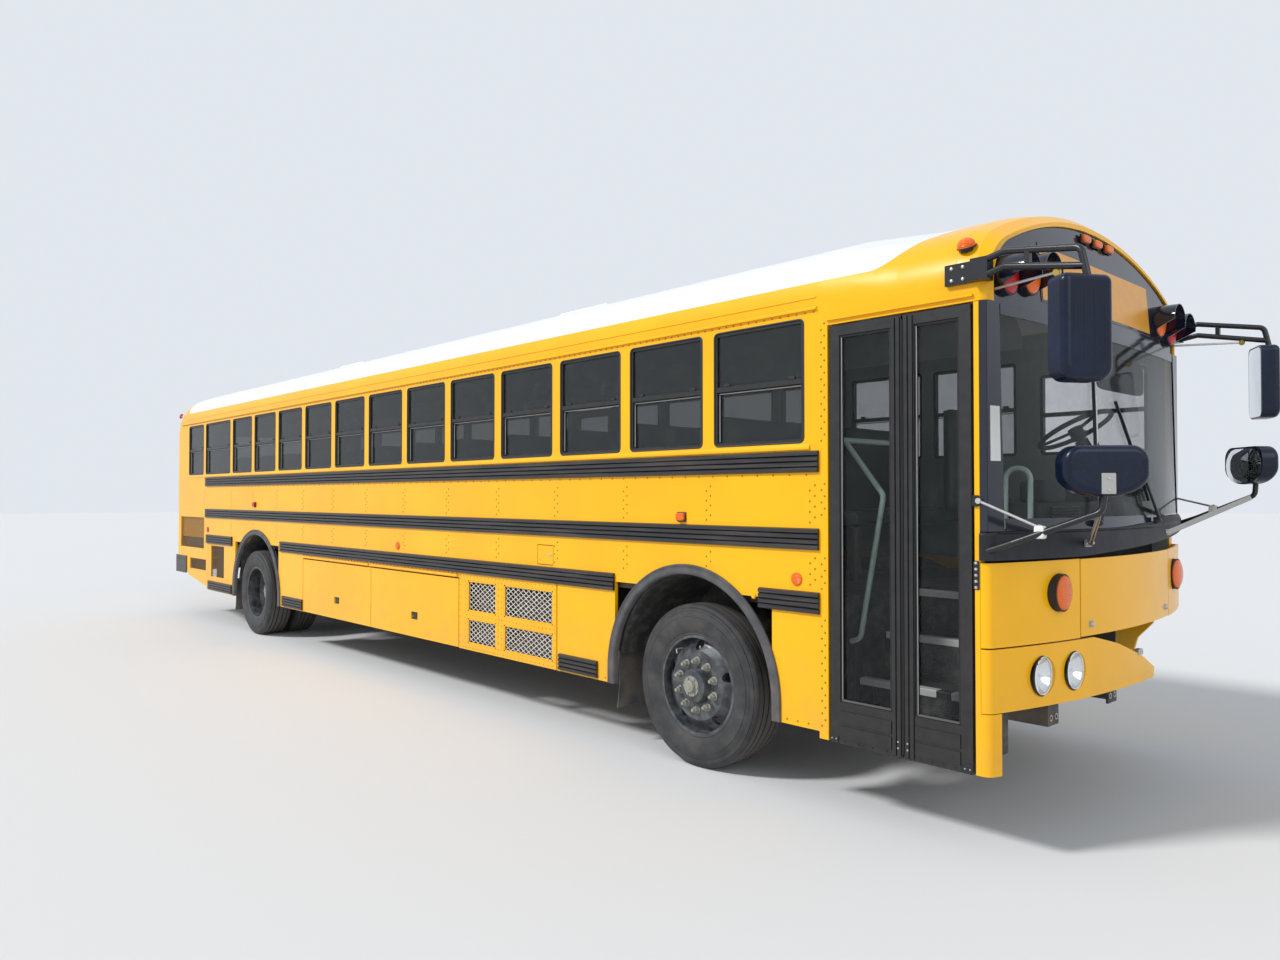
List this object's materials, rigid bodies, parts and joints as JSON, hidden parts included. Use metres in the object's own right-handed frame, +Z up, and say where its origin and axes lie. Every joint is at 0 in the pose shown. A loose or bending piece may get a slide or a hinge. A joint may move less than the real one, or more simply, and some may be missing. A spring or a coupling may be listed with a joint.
{
  "type": "flat-nosed rear-engine school bus",
  "caption": "Full-size flat-nosed school bus with a hollow cabin, steered front wheels, twin rear wheels, opening doors, lids, hatches and a folding stop arm.",
  "frame": {"origin": "bottom centre of the whole bus's bounding box, on the ground, midway between the rear bumper and the front mirrors", "axes": "+X forward, +Y to the bus's left (driver's side), +Z up"},
  "size_m": [12.3519, 2.8472, 3.148],
  "materials": {
    "yellow_paint": "gloss school-bus yellow",
    "white_paint": "gloss white",
    "chassis_black": "satin chassis black with dust",
    "step_steel": "satin dark grey sheet steel",
    "floor_vinyl": "ribbed black rubber flooring",
    "mesh_steel": "black expanded mesh",
    "sash_black": "black anodised sash with bare meeting rail",
    "tinted_glass": "lightly tinted safety glass",
    "rail_black": "satin black ribbed steel",
    "rubber": "weathered grey-black rubber",
    "gloss_black": "deep gloss black",
    "cowl_black": "satin black moulding",
    "inner_black": "matt black grained moulding",
    "engine_iron": "oily dark grey",
    "seat_vinyl": "dark grey grained vinyl",
    "seat_steel": "satin black tube",
    "rail_green": "pale grey-green coated tube",
    "lamp_clear": "clear fluted lens over bright reflector",
    "lamp_amber": "ribbed amber lens",
    "lamp_red": "ribbed red lens",
    "mirror_black": "black shell with mirror glass",
    "arm_black": "satin black tube",
    "door_black": "black anodised extrusion",
    "sign_red": "gloss red with white border, blank",
    "hatch_white": "white moulded lid",
    "wheel_black": "dusty black steel",
    "tyre": "dusty black tyre rubber"
  },
  "bodies": {
    "bus_body": {"chassis_frame": "chassis_black", "front_axle": "chassis_black", "rear_axle": "chassis_black", "floor": "floor_vinyl", "step_well": "step_steel", "wheel_housings": "step_steel", "storage_boxes": "step_steel", "rear_deck": "floor_vinyl", "side_panels": "yellow_paint", "skirts": "yellow_paint", "grille_meshes": "mesh_steel", "window_bands": "yellow_paint", "window_frames": "sash_black", "glass": "tinted_glass", "rub_rails": "rail_black", "fender_rubbers": "rubber", "roof": "white_paint", "front_cap": "yellow_paint", "sign_panel": "gloss_black", "cowl": "cowl_black", "upper_fascia": "yellow_paint", "lower_fascia": "yellow_paint", "front_bulkhead": "inner_black", "rear_wall": "yellow_paint", "rear_bumper": "rail_black", "engine": "engine_iron", "fuel_tank": "chassis_black", "seat_pads": "seat_vinyl", "seat_frames": "seat_steel", "grab_rails": "rail_green", "headlamps": "lamp_clear", "amber_lamps": "lamp_amber", "red_lamps": "lamp_red", "mirror_heads": "mirror_black", "mirror_arms": "arm_black"},
    "knuckle_right": {"knuckle_right": "chassis_black"},
    "knuckle_left": {"knuckle_left": "chassis_black"},
    "front_wheel_right": {"front_rim_right": "wheel_black", "front_tyre_right": "tyre"},
    "front_wheel_left": {"front_rim_left": "wheel_black", "front_tyre_left": "tyre"},
    "rear_wheels_right": {"rear_rims_right": "wheel_black", "rear_tyres_right": "tyre"},
    "rear_wheels_left": {"rear_rims_left": "wheel_black", "rear_tyres_left": "tyre"},
    "steering_wheel": {"steering_wheel": "inner_black"},
    "entrance_leaf_front": {"entrance_leaf_front": "door_black", "entrance_glass_front": "tinted_glass"},
    "entrance_leaf_rear": {"entrance_leaf_rear": "door_black", "entrance_glass_rear": "tinted_glass"},
    "emergency_door": {"emergency_door": "yellow_paint", "emergency_glass": "tinted_glass"},
    "engine_door": {"engine_door": "yellow_paint"},
    "storage_door_rear": {"storage_door_rear": "yellow_paint"},
    "storage_door_front": {"storage_door_front": "yellow_paint"},
    "fuel_flap": {"fuel_flap": "yellow_paint"},
    "service_panel": {"service_panel": "yellow_paint"},
    "stop_arm": {"stop_arm": "sign_red"},
    "hatch_front": {"hatch_front": "hatch_white"},
    "hatch_rear": {"hatch_rear": "hatch_white"}
  },
  "joints": [
    {"name": "steer_right", "type": "hinge", "parent": "bus_body", "child": "knuckle_right", "pos_m": [3.756, -0.85, 0.48], "axis": [0, 0, 1], "range_deg": [-35, 35]},
    {"name": "steer_left", "type": "hinge", "parent": "bus_body", "child": "knuckle_left", "pos_m": [3.756, 0.85, 0.48], "axis": [0, 0, 1], "range_deg": [-35, 35]},
    {"name": "steering_wheel_turn", "type": "hinge", "parent": "bus_body", "child": "steering_wheel", "pos_m": [5.256, 0.55, 1.99], "axis": [-0.4695, 0, 0.8829], "range_deg": [-630, 630]},
    {"name": "front_spin_right", "type": "hinge", "parent": "knuckle_right", "child": "front_wheel_right", "pos_m": [3.756, -1.033, 0.48], "axis": [0, 1, 0], "continuous": true},
    {"name": "front_spin_left", "type": "hinge", "parent": "knuckle_left", "child": "front_wheel_left", "pos_m": [3.756, 1.033, 0.48], "axis": [0, 1, 0], "continuous": true},
    {"name": "rear_spin_right", "type": "hinge", "parent": "bus_body", "child": "rear_wheels_right", "pos_m": [-3.294, -0.89, 0.48], "axis": [0, 1, 0], "continuous": true},
    {"name": "rear_spin_left", "type": "hinge", "parent": "bus_body", "child": "rear_wheels_left", "pos_m": [-3.294, 0.89, 0.48], "axis": [0, 1, 0], "continuous": true},
    {"name": "entrance_front_swing", "type": "hinge", "parent": "bus_body", "child": "entrance_leaf_front", "pos_m": [5.504, -1.199, 1.4], "axis": [0, 0, 1], "range_deg": [0, 90]},
    {"name": "entrance_rear_swing", "type": "hinge", "parent": "bus_body", "child": "entrance_leaf_rear", "pos_m": [4.784, -1.199, 1.4], "axis": [0, 0, -1], "range_deg": [0, 90]},
    {"name": "emergency_swing", "type": "hinge", "parent": "bus_body", "child": "emergency_door", "pos_m": [0.272, 1.243, 1.8], "axis": [0, 0, -1], "range_deg": [0, 100]},
    {"name": "engine_door_lift", "type": "hinge", "parent": "bus_body", "child": "engine_door", "pos_m": [-6.089, 0, 1.484], "axis": [0, 1, 0], "range_deg": [0, 85]},
    {"name": "storage_rear_lift", "type": "hinge", "parent": "bus_body", "child": "storage_door_rear", "pos_m": [-1.063, -1.222, 0.948], "axis": [-1, 0, 0], "range_deg": [0, 90]},
    {"name": "storage_front_lift", "type": "hinge", "parent": "bus_body", "child": "storage_door_front", "pos_m": [0.462, -1.222, 0.948], "axis": [-1, 0, 0], "range_deg": [0, 90]},
    {"name": "fuel_flap_swing", "type": "hinge", "parent": "bus_body", "child": "fuel_flap", "pos_m": [2.45, -1.221, 1.185], "axis": [0, 0, 1], "range_deg": [0, 110]},
    {"name": "service_panel_lift", "type": "hinge", "parent": "bus_body", "child": "service_panel", "pos_m": [5.792, 0, 1.3], "axis": [0, -1, 0], "range_deg": [0, 78]},
    {"name": "stop_arm_swing", "type": "hinge", "parent": "bus_body", "child": "stop_arm", "pos_m": [4.101, 1.267, 1.57], "axis": [0, 0, -1], "range_deg": [0, 90]},
    {"name": "hatch_front_lift", "type": "hinge", "parent": "bus_body", "child": "hatch_front", "pos_m": [1.963, 0, 3.1], "axis": [0, 1, 0], "range_deg": [0, 60]},
    {"name": "hatch_rear_lift", "type": "hinge", "parent": "bus_body", "child": "hatch_rear", "pos_m": [-2.357, 0, 3.1], "axis": [0, 1, 0], "range_deg": [0, 60]}
  ],
  "couplings": [
    {"joint": "steer_left", "follows": "steer_right", "ratio": 1},
    {"joint": "steering_wheel_turn", "follows": "steer_right", "ratio": 18},
    {"joint": "entrance_rear_swing", "follows": "entrance_front_swing", "ratio": 1}
  ]
}
